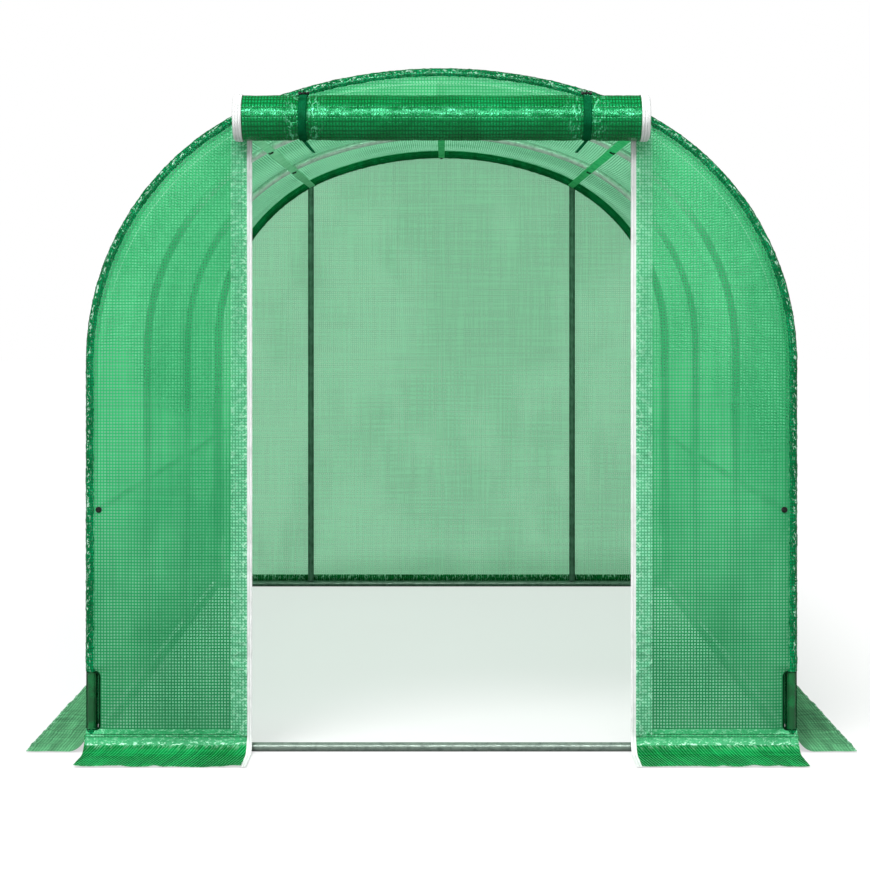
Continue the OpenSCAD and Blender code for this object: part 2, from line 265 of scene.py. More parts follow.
def clothFinish(name, look):
    # woven green film; "hides" says how much the squares and the threads hide what is behind
    material = startMaterial(name)
    cloth = addNode(material, "UVMap").outputs[0]
    here = addNode(material, "TexCoord").outputs["Object"]
    paintedLight = readOn(material, "paintedLight")
    if look["wander"]:
        cloth = waveOn(material, cloth, look["wander"])
    threads = weaveOn(material, cloth, look["pitch"], look["thread"], look["ways"])
    uneven = unevenThreads(material, cloth, look["pitch"])
    # cloudy patches: the film's own tone that differs at random, its paler patches also standing for glare, a
    # painted sheen
    cloudy = spread(material, noiseOn(material, here, look["cloud"], 4, (1, 1, 0.6)), 0.34, 0.66)
    plain = blendColours(material, cloudy, rgba(look["film"]), rgba(look["filmDark"]))
    ribs = blendColours(material, cloudy, rgba(look["threads"]), rgba(look["threads"], look["dull"]))
    colour = blendColours(material, threads, plain, ribs)
    tone = spread(material, uneven, 0.38, 0.62, 1 - look["uneven"], 1 + look["uneven"])
    height = heightOn(material, here)
    shaded = spread(material, height, 0.0, look["footRise"], look["footTone"], 1.0)
    tone = calc(material, "MULTIPLY", tone, shaded)
    colour = addNode(material, "VectorMath", {0: colour, "Scale": tone}, operation="SCALE").outputs[0]
    curls = strokesOn(material, cloth, look["curl"], look["curlWidth"], 0.50,
                      look["curlStretch"], look["curlTurn"])
    # painted highlights: pale glint strokes, as many as the mesh's paintedLight share asks for
    paintedGlint = calc(material, "MULTIPLY", curls, paintedLight)
    colour = blendColours(material, paintedGlint, colour, rgba(look["paintedGlint"]))
    if look["stitchRows"]:
        stitches = calc(material, "MULTIPLY", stitchesOn(material, look), look["stitchShows"])
        colour = blendColours(material, stitches, colour, rgba(look["stitchColour"]))
        # the stitch rows join the painted glints here, so that both hide what is behind
        paintedGlint = calc(material, "MAXIMUM", paintedGlint, stitches)
    crumple = noiseOn(material, here, look["crumpleScale"], 5, (1, 1, 0.6), (0, 0.5, 0))
    normal = bumpFrom(material, crumple, look["crumple"])
    normal = bumpFrom(material, threads, 0.0006, 0.6, normal)
    gloss = spread(material, threads, 0.0, 1.0, look["rough"], look["rough"] + 0.2)
    body = addNode(material, "BsdfPrincipled", {
        "Base Color": colour, "Roughness": gloss, "Normal": normal, "IOR": 1.5,
        "Specular IOR Level": look["shine"], "Specular Tint": rgba(look["shineTint"]),
    })
    surface = body.outputs[0]
    if look["glow"]:
        glow = addNode(material, "BsdfTranslucent", {"Color": colour, "Normal": normal})
        surface = addNode(material, "MixShader", {0: look["glow"], 1: surface, 2: glow.outputs[0]}).outputs[0]
    if look["hides"]:
        clear = addNode(material, "BsdfTransparent", {"Color": rgba(look["tint"])})
        hides = spread(material, threads, 0.0, 1.0, look["hides"][0], look["hides"][1])
        hides = calc(material, "MULTIPLY", hides, spread(material, cloudy, 0, 1, 0.93, 1.07))
        denser = spread(material, height, 0.0, look["footRise"], look["footHides"], 0.0)
        hides = calc(material, "ADD", hides, denser)
        hides = calc(material, "MINIMUM", calc(material, "MAXIMUM", hides, paintedGlint), 1.0)
        surface = addNode(material, "MixShader", {0: hides, 1: clear.outputs[0], 2: surface}).outputs[0]
    addNode(material, "OutputMaterial", {"Surface": surface})
    return material


def tapeMaterial(name, colour, dark, ridge, shine=0.12):
    # woven tape or webbing: fine ribs along its length
    material = startMaterial(name)
    cloth = addNode(material, "UVMap").outputs[0]
    here = addNode(material, "TexCoord").outputs["Object"]
    threads = weaveOn(material, cloth, ridge, ridge * 0.8)
    dirty = spread(material, noiseOn(material, here, 25, 4), 0.45, 0.75)
    shade = blendColours(material, dirty, rgba(colour), rgba(dark))
    shade = blendColours(material, threads, rgba(dark, 0.85), shade)
    # painted shade: darker where the mesh's paintedLight share says, in the valleys between the roll ends'
    # ribs and down the zip tape's groove
    paintedLightShare = readOn(material, "paintedLight")
    shade = blendColours(material, paintedLightShare, shade, rgba(dark, 0.45))
    normal = bumpFrom(material, threads, 0.0004, 0.8)
    body = addNode(material, "BsdfPrincipled", {
        "Base Color": shade, "Roughness": 0.62, "Normal": normal, "Specular IOR Level": shine,
    })
    addNode(material, "OutputMaterial", {"Surface": body.outputs[0]})
    return material


paintedShadeBelow = (1.45, 1.62)               # heights between which a tube's painted shade, dark green below, gives way to its own colour


def hardMaterial(name, colour, dark, rough, grain=60.0, metallic=0.0, shine=0.5, spangle=False, low=None):
    # painted, plated or moulded surfaces; if low is given, painted shade: a dark green on what stands low, for
    # the shade and the green light between the green walls
    material = startMaterial(name)
    here = addNode(material, "TexCoord").outputs["Object"]
    patches = spread(material, noiseOn(material, here, grain, 3), 0.4, 0.62)
    if spangle:
        cells = addNode(material, "TexVoronoi", {"Vector": here, "Scale": 140.0})
        cells = addNode(material, "RGBToBW", {"Color": cells.outputs["Color"]}).outputs[0]
        patches = calc(material, "MULTIPLY", patches, cells)
    shade = blendColours(material, patches, rgba(colour), rgba(dark))
    if low:
        low = blendColours(material, patches, rgba(low), rgba(low, 0.8))
        shade = blendColours(material, spread(material, heightOn(material, here), *paintedShadeBelow), low, shade)
    gloss = spread(material, patches, 0.0, 1.0, rough, rough + 0.15)
    normal = bumpFrom(material, noiseOn(material, here, 420, 2), 0.0002, 0.5)
    body = addNode(material, "BsdfPrincipled", {
        "Base Color": shade, "Roughness": gloss, "Normal": normal, "Metallic": metallic,
        "Specular IOR Level": shine,
    })
    addNode(material, "OutputMaterial", {"Surface": body.outputs[0]})
    return material


# ---- the finishes

filmLook = {
    "pitch": 0.0086, "thread": 0.0036, "ways": "XY", "wander": 0.0, "uneven": 0.05, "dull": 0.72,
    "film": (0.36, 0.98, 0.60), "filmDark": (0.12, 0.70, 0.33), "threads": (0.021, 0.48, 0.15),
    "tint": (0.48, 0.94, 0.66), "hides": (0.46, 0.82), "glow": 0.2, "cloud": 3.0,
    "footRise": 1.3, "footTone": 1.0, "footHides": 0.0,         # the film is darker and denser near the ground
    "rough": 0.26, "shine": 0.35, "shineTint": (0.6, 1.0, 0.8), "crumple": 0.0014, "crumpleScale": 38,
    "paintedGlint": (0.50, 0.90, 0.66), "curl": 120, "curlWidth": 0.08, "curlStretch": (1, 0.6, 1),
    "curlTurn": (0, 0, 0.4),
    "stitchRows": (), "stitchFrom": -9.0, "stitchGap": 0.0, "stitchShows": 0.45,
    "stitchColour": (0.50, 0.90, 0.66),
}
endLook = {**filmLook, "footTone": 0.50, "footHides": 0.52, "stitchFrom": 1.1}
sideFilm = clothFinish("sideFilm", {**filmLook, "glow": 0.42, "film": (0.12, 0.66, 0.31),
    "filmDark": (0.08, 0.58, 0.25), "threads": (0.022, 0.34, 0.115), "hides": (0.46, 0.88)})
wallFilm = clothFinish("wallFilm", {**endLook, "hides": (0.31, 0.80), "tint": (0.62, 1.0, 0.80),
    "stitchRows": (0.052,)})
headerFilm = clothFinish("headerFilm", {**endLook, "hides": (0.50, 0.78), "stitchRows": (0.045,)})
backFilm = clothFinish("backFilm", {**filmLook, "thread": 0.0030, "uneven": 0.22, "dull": 0.94, "glow": 0.36,
    "film": (0.09, 0.50, 0.24), "filmDark": (0.08, 0.48, 0.225), "threads": (0.065, 0.42, 0.18),
    "tint": (0.46, 0.88, 0.59), "hides": (0.46, 0.60)})
hemFilm = clothFinish("hemFilm", {**endLook, "film": (0.36, 0.92, 0.60), "filmDark": (0.18, 0.72, 0.38),
    "threads": (0.09, 0.50, 0.23), "hides": (0.72, 0.88), "footTone": 0.75, "crumple": 0.004,
    "crumpleScale": 60, "curl": 110, "curlWidth": 0.10, "curlStretch": (0.7, 1, 1), "curlTurn": (0, 0, 0.5)})
seamFilm = clothFinish("seamFilm", {**filmLook, "film": (0.06, 0.42, 0.17), "filmDark": (0.02, 0.27, 0.09),
    "threads": (0.03, 0.33, 0.12), "hides": None, "glow": 0.0, "crumple": 0.005, "crumpleScale": 70,
    "stitchRows": (0.014, 0.0205), "stitchGap": 0.7, "stitchShows": 1.0, "stitchColour": (0.003, 0.09, 0.025),
    "curl": 150, "curlWidth": 0.09, "curlStretch": (0.5, 1.2, 1), "curlTurn": (0, 0, 0.3)})
sideSkirtFilm = clothFinish("sideSkirtFilm", {**filmLook, "film": (0.135, 0.41, 0.20), "uneven": 0.3,
    "filmDark": (0.10, 0.33, 0.16), "threads": (0.06, 0.26, 0.11), "hides": None, "glow": 0.0,
    "rough": 0.5, "cloud": 7})
frontSkirtFilm = clothFinish("frontSkirtFilm", {**filmLook, "film": (0.002, 0.19, 0.038), "uneven": 0.35,
    "filmDark": (0.001, 0.13, 0.02), "threads": (0.018, 0.30, 0.10), "hides": None, "glow": 0.0, "ways": "X",
    "wander": 0.005, "thread": 0.0021, "crumple": 0.005, "cloud": 9,
    "curl": 110, "curlWidth": 0.10, "curlStretch": (1.6, 0.4, 1), "curlTurn": (0, 0, 0.25)})
rollLook = {**filmLook, "thread": 0.0030, "film": (0.003, 0.29, 0.076), "filmDark": (0.001, 0.20, 0.040),
    "threads": (0.0005, 0.10, 0.016), "hides": None, "glow": 0.0, "rough": 0.17, "crumple": 0.0036,
    "crumpleScale": 42, "shine": 0.8, "shineTint": (0.2, 1.0, 0.55), "cloud": 7, "paintedGlint": (0.22, 0.82, 0.48),
    "curl": 130, "curlWidth": 0.09}
rollFilm = clothFinish("rollFilm", rollLook)
sleeveFilm = clothFinish("sleeveFilm", {**rollLook, "film": (0.002, 0.25, 0.080),
    "filmDark": (0.001, 0.13, 0.034), "threads": (0.001, 0.10, 0.026), "crumple": 0.005,
    "crumpleScale": 90, "cloud": 26, "shine": 0.3,
    "paintedGlint": (0.60, 0.90, 0.74), "curl": 105, "curlWidth": 0.06, "curlStretch": (1.3, 0.75, 1),
    "curlTurn": (0, 0, 0.25)})
whiteTape = tapeMaterial("whiteTape", (0.76, 0.78, 0.77), (0.62, 0.65, 0.63), 0.0022)
webbing = tapeMaterial("webbing", (0.001, 0.10, 0.033), (0.0005, 0.055, 0.016), 0.0016, 0.02)
piping = tapeMaterial("piping", (0.002, 0.028, 0.009), (0.001, 0.016, 0.006), 0.002, 0.02)
blackPlastic = hardMaterial("blackPlastic", (0.006, 0.007, 0.006), (0.012, 0.013, 0.012), 0.35, shine=0.3)
greenPaint = hardMaterial("greenPaint", (0.003, 0.13, 0.033), (0.002, 0.08, 0.02), 0.22, 30)
# painted light: the left purlin takes a pale copy of the purlin paint, for the light on it; the ridge and
# right purlins keep the deeper green
litPurlinPaint = hardMaterial("litPurlinPaint", (0.36, 0.90, 0.54), (0.26, 0.78, 0.44), 0.40, 30)
brightPaint = hardMaterial("brightPaint", (0.03, 0.74, 0.24), (0.02, 0.60, 0.18), 0.35, 30)
postPaint = hardMaterial("postPaint", (0.14, 0.24, 0.18), (0.09, 0.16, 0.12), 0.30, 30, metallic=0.3)
bracePaint = hardMaterial("bracePaint", (0.16, 0.34, 0.22), (0.11, 0.25, 0.16), 0.40, 30, metallic=0.3)
# painted shade: the zinc turns dark green below 1.45 m, for the shade and green light inside the tunnel
zincCoat = hardMaterial("zincCoat", (0.66, 0.74, 0.69), (0.44, 0.50, 0.46), 0.30, 45, metallic=0.25,
                        spangle=True, low=(0.008, 0.15, 0.05))
# painted shade: a darker copy of the zinc coat for the sills and base rails down by the ground
shadedZincCoat = hardMaterial("shadedZincCoat", (0.20, 0.26, 0.22), (0.11, 0.15, 0.13), 0.30, 45, metallic=0.3,
                        shine=0.3, spangle=True)
print("materials made")

frameFinish = {
    greenPaint: ["front_hoop", "rear_hoop"],
    zincCoat: ["second_hoop", "third_hoop", "left_side_rail", "right_side_rail"],
    shadedZincCoat: ["left_base_rail", "right_base_rail", "front_sill", "rear_sill"],
    postPaint: ["left_door_post", "right_door_post", "left_rear_post", "right_rear_post"],
    litPurlinPaint: ["left_roof_purlin"],
    brightPaint: ["ridge_purlin", "right_roof_purlin"],
    bracePaint: ["left_braces", "right_braces"],
    blackPlastic: ["bolt_caps"],
}
for material, names in frameFinish.items():
    for name in names:
        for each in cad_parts[name].material_slots:
            each.link = "OBJECT"
            each.material = material

# ---- the arch that every sheet follows: straight legs, two shoulder bends and a flatter crown

sleeveLow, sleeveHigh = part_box("front_sleeve")
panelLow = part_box("front_right_panel")[0]
arch = {
    "halfWidth": sleeveHigh.x,
    "legHeight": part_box("left_side_cover")[1].z,
    "top": sleeveHigh.z,
    "crownAngle": math.radians(20.7),
    "sleeveRadius": (sleeveHigh.y - sleeveLow.y) / 2,
    "hoopY": -(sleeveHigh.y + sleeveLow.y) / 2,
}
crownShare = math.tan(arch["crownAngle"] / 2)
rise = arch["top"] - arch["legHeight"]
shoulderRadius = (rise - arch["halfWidth"] * crownShare) / (1 - crownShare)
shoulderX = arch["halfWidth"] - shoulderRadius
crownRadius = shoulderRadius + shoulderX / math.sin(arch["crownAngle"])
crownZ = arch["top"] - crownRadius
shoulderSweep = math.pi / 2 - arch["crownAngle"]
hoopYs = [-arch["hoopY"], -arch["hoopY"] / 3, arch["hoopY"] / 3, arch["hoopY"]]
frontY = panelLow.y                     # outer face of the front wall
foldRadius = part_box("left_side_cover")[0].z
bothSides = ((-1, "left"), (1, "right"))


def archLengths(inset):
    shoulder = (shoulderRadius - inset) * shoulderSweep
    crown = 2 * (crownRadius - inset) * arch["crownAngle"]
    return [arch["legHeight"], shoulder, crown, shoulder, arch["legHeight"]]


def archAt(distance, inset):
    # place and outward direction (x, z) at a distance from the left foot, over the top to the right foot
    leg, shoulder, crown, _, _ = archLengths(inset)
    edge = arch["halfWidth"] - inset
    if distance < leg:
        return -edge, distance, -1.0, 0.0
    distance -= leg
    if distance < shoulder:
        turn = math.pi - distance / shoulder * shoulderSweep
        centreX, centreZ, radius = -shoulderX, arch["legHeight"], shoulderRadius - inset
    elif distance < shoulder + crown:
        turn = math.pi - shoulderSweep - (distance - shoulder) / crown * 2 * arch["crownAngle"]
        centreX, centreZ, radius = 0.0, crownZ, crownRadius - inset
    elif distance < 2 * shoulder + crown:
        turn = shoulderSweep * (1 - (distance - shoulder - crown) / shoulder)
        centreX, centreZ, radius = shoulderX, arch["legHeight"], shoulderRadius - inset
    else:
        return edge, arch["legHeight"] - (distance - 2 * shoulder - crown), 1.0, 0.0
    return (centreX + radius * math.cos(turn), centreZ + radius * math.sin(turn),
            math.cos(turn), math.sin(turn))


def archHeight(x, inset):
    x = abs(x)
    if x <= (crownRadius - inset) * math.sin(arch["crownAngle"]):
        return crownZ + math.sqrt((crownRadius - inset) ** 2 - x * x)
    return arch["legHeight"] + math.sqrt(max(0.0, (shoulderRadius - inset) ** 2 - (x - shoulderX) ** 2))


def archHalfWidth(z, inset):
    if z <= arch["legHeight"]:
        return arch["halfWidth"] - inset
    up = z - arch["legHeight"]
    if up <= (shoulderRadius - inset) * math.sin(shoulderSweep):
        return shoulderX + math.sqrt((shoulderRadius - inset) ** 2 - up * up)
    return math.sqrt(max(0.0, (crownRadius - inset) ** 2 - (z - crownZ) ** 2))


def archDepth(x, z):
    # how deep a point of an end wall lies inside the arch, and how far along the arch it is
    x = abs(x)
    if z <= arch["legHeight"]:
        return arch["halfWidth"] - x, z
    turn = math.atan2(z - arch["legHeight"], x - shoulderX)
    if 0 <= turn <= shoulderSweep:
        return (shoulderRadius - math.hypot(x - shoulderX, z - arch["legHeight"]),
                arch["legHeight"] + shoulderRadius * turn)
    turn = math.atan2(x, z - crownZ)
    return (crownRadius - math.hypot(x, z - crownZ),
            arch["legHeight"] + shoulderRadius * shoulderSweep + crownRadius * (arch["crownAngle"] - turn))


# ---- the cover over the hoops, in one sheet from the left wall's foot to the right one's

coverSizes = {
    "inset": 0.0035, "sag": 0.010, "wrinkle": 0.0022, "halfLength": 1.474, "across": 230, "along": 150,
}
coverLength = sum(archLengths(coverSizes["inset"])) - 2 * foldRadius


def coverPlace(u, v):
    s = coverSizes
    distance = foldRadius + coverLength * u
    y = -s["halfLength"] + 2 * s["halfLength"] * v
    x, z, outX, outZ = archAt(distance, s["inset"])
    bay = ((y - hoopYs[0]) / (hoopYs[1] - hoopYs[0])) % 1.0
    between = 4 * bay * (1 - bay)
    slack = 0.75 + 0.5 * wobble(distance, y * 0.7, 4.2, 1.3)
    sag = s["sag"] * between * slack * smooth(0.0, 0.35, z)
    pull = crease(distance * 0.6, y * 2.2, 1.7, 3.1) * smooth(0.0, 0.12, between) * 0.5
    ripple = s["wrinkle"] * (abs(wobble(distance * 1.4, y * 0.8, 7.7, 7.0)) + pull)
    inward = sag + ripple * smooth(0, 0.2, between)
    # painted highlights: faint pale glints on the crests of the creases
    paintedLight = 0.05 * crease(distance, y * 1.4, 9.1, 6.0)
    return (x - outX * inward, y, z - outZ * inward), (distance, y + 2), paintedLight


tunnelCover = makeSheet("tunnelCover", coverSizes["across"], coverSizes["along"], coverPlace, (0, 0, 0.9))
finishPiece(tunnelCover, sideFilm, "mesh_film", "left_side_cover", "right_side_cover", "roof_cover")
print("cover made")

# ---- the flat end walls

wallSizes = {
    "edgeInset": 0.0215, "tuckFrom": 0.040, "tuck": 0.0036, "proud": 0.0006, "columns": 56, "rows": 200,
    "fold": 0.0036, "crease": 0.0016, "rearFold": 0.004, "rearCrease": 0.0015,
    "footLow": 0.063, "footHigh": 0.226, "footInner": 0.959, "footCorner": 0.012, "footTuck": 0.0055,
    "panelFlat": (0.434, 1.75), "panelArea": 0.64, "rearFlat": (1.96, 1.86), "rearArea": 3.30,
}
zipOuter = panelLow.x                   # where the right panel starts, beside its zip
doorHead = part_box("front_header")[0].z


def wallEdge(z):
    # how far out a wall reaches at height z, with the foot opening left out
    s = wallSizes
    edge = archHalfWidth(z, s["edgeInset"])
    if s["footLow"] < z < s["footHigh"]:
        fromEnd = min(z - s["footLow"], s["footHigh"] - z)
        short = 0.0
        if fromEnd < s["footCorner"]:
            short = s["footCorner"] - math.sqrt(s["footCorner"] ** 2 - (s["footCorner"] - fromEnd) ** 2)
        edge = min(edge, s["footInner"] + short)
    return edge


def wallRows(top):
    # heights of a wall's rows: even, with close ones at the foot opening's ends and near the top
    s = wallSizes
    close = 0.0004
    rows = [foldRadius, s["footLow"] - close, s["footLow"] + close]
    rows += [s["footLow"] + k * 0.003 for k in range(1, 5)]
    rows += [s["footHigh"] - k * 0.003 for k in range(4, 0, -1)]
    rows += [s["footHigh"] - close, s["footHigh"] + close]
    middle = s["rows"] - len(rows)
    for k in range(1, middle + 1):
        share = math.sin(math.pi / 2 * k / middle) * 0.35 + 0.65 * k / middle
        rows.append(s["footHigh"] + close + (top - s["footHigh"] - close) * share)
    return sorted(rows)


def rimTuck(depth):
    # how far a wall's rim turns in towards its sleeve
    return wallSizes["tuck"] * smooth(wallSizes["tuckFrom"], wallSizes["edgeInset"], depth)


def frontFold(x, z):
    # how far the front wall stands forward: long soft folds, and small creases by the hem;
    # its rim tucks back into the sleeve and round the foot opening
    s = wallSizes
    depth = archDepth(x, z)[0]
    free = smooth(s["edgeInset"], 0.070, depth)
    folds = s["fold"] * (1 + wobble(x * 2.6, 0.3, z * 0.4, 3.0)) * smooth(0.05, 0.5, z)
    byHem = smooth(0.12, 0.0, abs(x) - zipOuter)
    folds += s["crease"] * crease(x * 1.5, 0.0, z * 0.6, 6.0) * (0.25 + 0.75 * byHem)
    near = s["footCorner"]
    opening = smooth(near, 0.0, s["footLow"] - z) * smooth(near, 0.0, z - s["footHigh"])
    tuck = rimTuck(depth) + s["footTuck"] * opening * smooth(0.030, 0.0, s["footInner"] - abs(x))
    return folds * free - tuck


def frontPanelPlace(side):
    rows = wallRows(archHeight(zipOuter, wallSizes["edgeInset"]))

    def place(u, v):
        z = rows[round(v * (len(rows) - 1))]
        edge = max(zipOuter + 0.0002, wallEdge(z))
        x = zipOuter + (edge - zipOuter) * u
        depth, run = archDepth(x, z)
        # painted highlights: pale glints near the rim and, high up, by the zip
        paintedLight = 0.25 * smooth(0.035, 0.022, depth) + 0.4 * smooth(0.06, 0.0, x - zipOuter) * smooth(1.2, 1.6, z)
        y = frontY - wallSizes["proud"] - frontFold(x, z)
        return (side * x, y, z), (x, z), paintedLight, depth, run

    return place


for side, word in bothSides:
    panel = makeSheet("front" + word.title() + "Panel", wallSizes["columns"], wallSizes["rows"] - 1,
                      frontPanelPlace(side), (0, 0, 0.9), True)
    finishPiece(panel, wallFilm, "mesh_film", "front_" + word + "_panel")


hemSizes = {"width": 0.045, "long": 1.72, "short": 0.004, "proud": 0.0015, "pucker": 0.0016}


def zipHemPlace(side):
    s = hemSizes

    def place(u, v):
        x = zipOuter + s["width"] * u
        top = archHeight(x, wallSizes["edgeInset"] + s["short"])
        z = foldRadius + (top - foldRadius) * v
        pucker = s["pucker"] * (1 + wobble(x, 3.3, z, 26.0) + crease(x * 0.7, 1.2, z, 22.0))
        # painted highlights: pale glints along the hem, most by the zip and at its outer edge
        paintedLight = 0.25 + 0.65 * smooth(0.45, 0.0, u) + 0.3 * smooth(0.85, 1.0, u)
        return (side * x, frontY - s["proud"] - frontFold(x, z) - pucker, z), (x, z), min(1.0, paintedLight)

    return place


for side, word in bothSides:
    hem = makeSheet(word + "ZipHem", 12, 420, zipHemPlace(side), (0, 0, 0.9))
    finishPiece(hem, hemFilm, "mesh_film")


headerSizes = {"high": 0.175, "area": 0.14, "folds": 0.002}


def headerPlace(u, v):
    x = -zipOuter + 2 * zipOuter * u
    top = archHeight(x, wallSizes["edgeInset"])
    z = doorHead + (top - doorHead) * v
    depth, run = archDepth(x, z)
    # painted highlights: pale glints near the rim
    paintedLight = 0.3 * smooth(0.035, 0.022, depth)
    folds = headerSizes["folds"] * (1 + wobble(x, 5.0, z, 6.0))
    folds *= smooth(wallSizes["edgeInset"], 0.05, depth)
    return (x, frontY - wallSizes["proud"] - folds + rimTuck(depth), z), (x + 2, z), paintedLight, depth, run


header = makeSheet("frontHeader", 120, 24, headerPlace, (0, 0, 0.9))
finishPiece(header, headerFilm, "mesh_film", "front_header")


def rearPanelPlace(u, v):
    z = rearRows[round(v * (len(rearRows) - 1))]
    edge = max(0.0001, wallEdge(z))
    x = -edge + 2 * edge * u
    folds = wallSizes["rearFold"] * (1 + wobble(x * 1.3, 2.0, z * 0.6, 2.2)) * smooth(0.05, 0.4, z)
    folds += wallSizes["rearCrease"] * crease(x, 4.0, z * 0.5, 3.0)
    depth, run = archDepth(x, z)
    folds = folds * smooth(wallSizes["edgeInset"], 0.08, depth) - rimTuck(depth)
    return (x, wallSizes["proud"] + folds - frontY, z), (x + 2, z), 0.0, depth, run


rearRows = wallRows(arch["top"] - wallSizes["edgeInset"])
rearPanel = makeSheet("rearPanel", 130, wallSizes["rows"] - 1, rearPanelPlace, (0, 0, 0.9), True)
finishPiece(rearPanel, backFilm, "mesh_film", "rear_panel")


seamSizes = {"high": 0.066, "reach": 0.028, "short": 0.003, "lift": 0.0015, "proud": 0.0012}


def seamBandPlace(low, high):
    # the doubled band sewn along a front panel's foot, over the top of the skirt's fold
    above = seamSizes["high"] - foldRadius

    def place(u, v):
        x = low + (high - low) * u
        along = (above + seamSizes["reach"]) * v
        bulge = 0.0014 + 0.0012 * crease(x, along * 0.6, 3.0, 30.0) + 0.0008 * wobble(x, along, 6.0, 40.0)
        bulge *= 1 - 0.5 * abs(2 * v - 1) ** 4
        # painted highlights: pale glints towards the fold line
        paintedLight = 0.25 + 0.65 * smooth(0.7, 0.95, v)
        if along < above:
            z = seamSizes["high"] - along
            y = frontY - seamSizes["proud"] - frontFold(abs(x), z) - bulge
            return (x, y, z), (x + 2, along + 2), paintedLight, along, x + 2
        out, z, inOut, inUp = skirtSection(along - above, seamSizes["lift"])
        y = frontY - out - wallSizes["proud"] + bulge * inOut * 0.8
        return (x, y, z - bulge * inUp * 0.5), (x + 2, along + 2), paintedLight, along, x + 2

    return place


def skirtSection(along, lift):
    # distance out and height at a distance along the skirt from its fold's top, and the direction it faces
    radius = foldRadius - lift
    bend = radius * math.pi / 2
    if along < bend:
        turn = along / radius
        return (foldRadius - radius * math.cos(turn), foldRadius - radius * math.sin(turn),
                -math.cos(turn), -math.sin(turn))
    return foldRadius + along - bend, foldRadius - radius, 0.0, -1.0


for side, word in bothSides:
    ends = sorted((side * zipOuter, side * (arch["halfWidth"] - seamSizes["short"])))
    band = makeSheet("foot" + word.title() + "Seam", 150, 12, seamBandPlace(*ends), (0, 0, 0.9))
    finishPiece(band, seamFilm, "mesh_film")


pipingSizes = {
    "thick": 0.0055, "proud": 0.0018, "short": 0.004, "flat": (0.0145, 0.24), "steps": 6, "straightSteps": 20,
}


def openingOutline():
    # the rim of the foot opening, from its outer low corner round to its outer high corner
    corner, steps = wallSizes["footCorner"], pipingSizes["steps"]
    straightSteps = pipingSizes["straightSteps"]
    outer, inner = arch["halfWidth"] - pipingSizes["short"], wallSizes["footInner"]
    centre = inner + corner
    low, high = wallSizes["footLow"] + corner, wallSizes["footHigh"] - corner
    turns = [math.pi / 2 * k / steps for k in range(1, steps + 1)]
    rim = [(outer - k * (outer - centre) / steps, low - corner) for k in range(steps + 1)]
    rim += [(centre - corner * math.sin(turn), low - corner * math.cos(turn)) for turn in turns]
    rim += [(inner, low + (high - low) * k / straightSteps) for k in range(1, straightSteps + 1)]
    rim += [(centre - corner * math.cos(turn), high + corner * math.sin(turn)) for turn in turns]
    rim += [(centre + k * (outer - centre) / steps, high + corner) for k in range(1, steps + 1)]
    return rim


def pipingPlace(side):
    rim = openingOutline()
    lengths = [0.0]
    for a, b in zip(rim, rim[1:]):
        lengths.append(lengths[-1] + math.hypot(b[0] - a[0], b[1] - a[1]))

    def place(u, v):
        k = round(v * (len(rim) - 1))
        before, after = rim[max(0, k - 1)], rim[min(len(rim) - 1, k + 1)]
        dx, dz = after[0] - before[0], after[1] - before[1]
        size = math.hypot(dx, dz)
        turn = math.radians(-120) + math.radians(300) * u
        radius = pipingSizes["thick"] / 2
        sideways = radius * math.sin(turn)
        x = rim[k][0] - dz / size * sideways
        z = rim[k][1] + dx / size * sideways
        y = frontY - pipingSizes["proud"] - frontFold(*rim[k]) - radius * 0.8 * math.cos(turn)
        return (side * x, y, z), (radius * turn, lengths[k]), 0.0

    return place


for side, word in bothSides:
    trim = makeSheet(word + "FootPiping", 12, len(openingOutline()) - 1, pipingPlace(side), None)
    finishPiece(trim, piping, "sleeve")
print("end walls made")

# ---- skirts: each hangs down its wall, folds out and lies on the ground

skirtSizes = {
    "reach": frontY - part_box("front_right_skirt")[0].y,     # how far a skirt reaches out from its wall
    "lift": 0.0015, "ripple": 0.0024, "crease": 0.0035, "columnWidth": 0.011, "rows": 40,
}


def skirtLength(lift):
    return (foldRadius - lift) * math.pi / 2 + skirtSizes["reach"] - foldRadius


def skirtPlace(way, wallAt, low, high, flare=0.0):
    # way is where the skirt reaches, low and high are its ends along the wall
    s = skirtSizes
    length = skirtLength(s["lift"])

    def place(u, v):
        here = low + (high - low) * u
        along = length * v
        out, z = skirtSection(along, s["lift"])[:2]
        ripple = s["ripple"] * (1 + wobble(here, out, 8.0 + wallAt, 9.0))
        ripple += s["crease"] * crease(here, out * 0.6, 2.0, 8.0)
        z += ripple * smooth(0.0, 0.05, along) * (0.35 + 0.65 * smooth(0.35, 0.9, v))
        # painted highlights: pale glints along the fold's top and at the outer edge
        paintedLightShare = max(smooth(0.05, 0.0, along) * 0.9, smooth(length - 0.012, length, along) * 0.8)
        x = here + flare * v * (2 * u - 1)
        if way == "front":
            lean = math.copysign(0.75 * (foldRadius - z) + 0.2 * out, x)        # the weave lies slantwise
            return (x, -wallAt - out, z), (here + 2 - lean, 2 - along), paintedLightShare
        if way == "back":
            return (x, wallAt + out, z), (here + 2, 2 - along), paintedLightShare
        side = -1 if way == "left" else 1
        return (side * (wallAt + out), x, z), (2 - along, here + 2), paintedLightShare

    return place


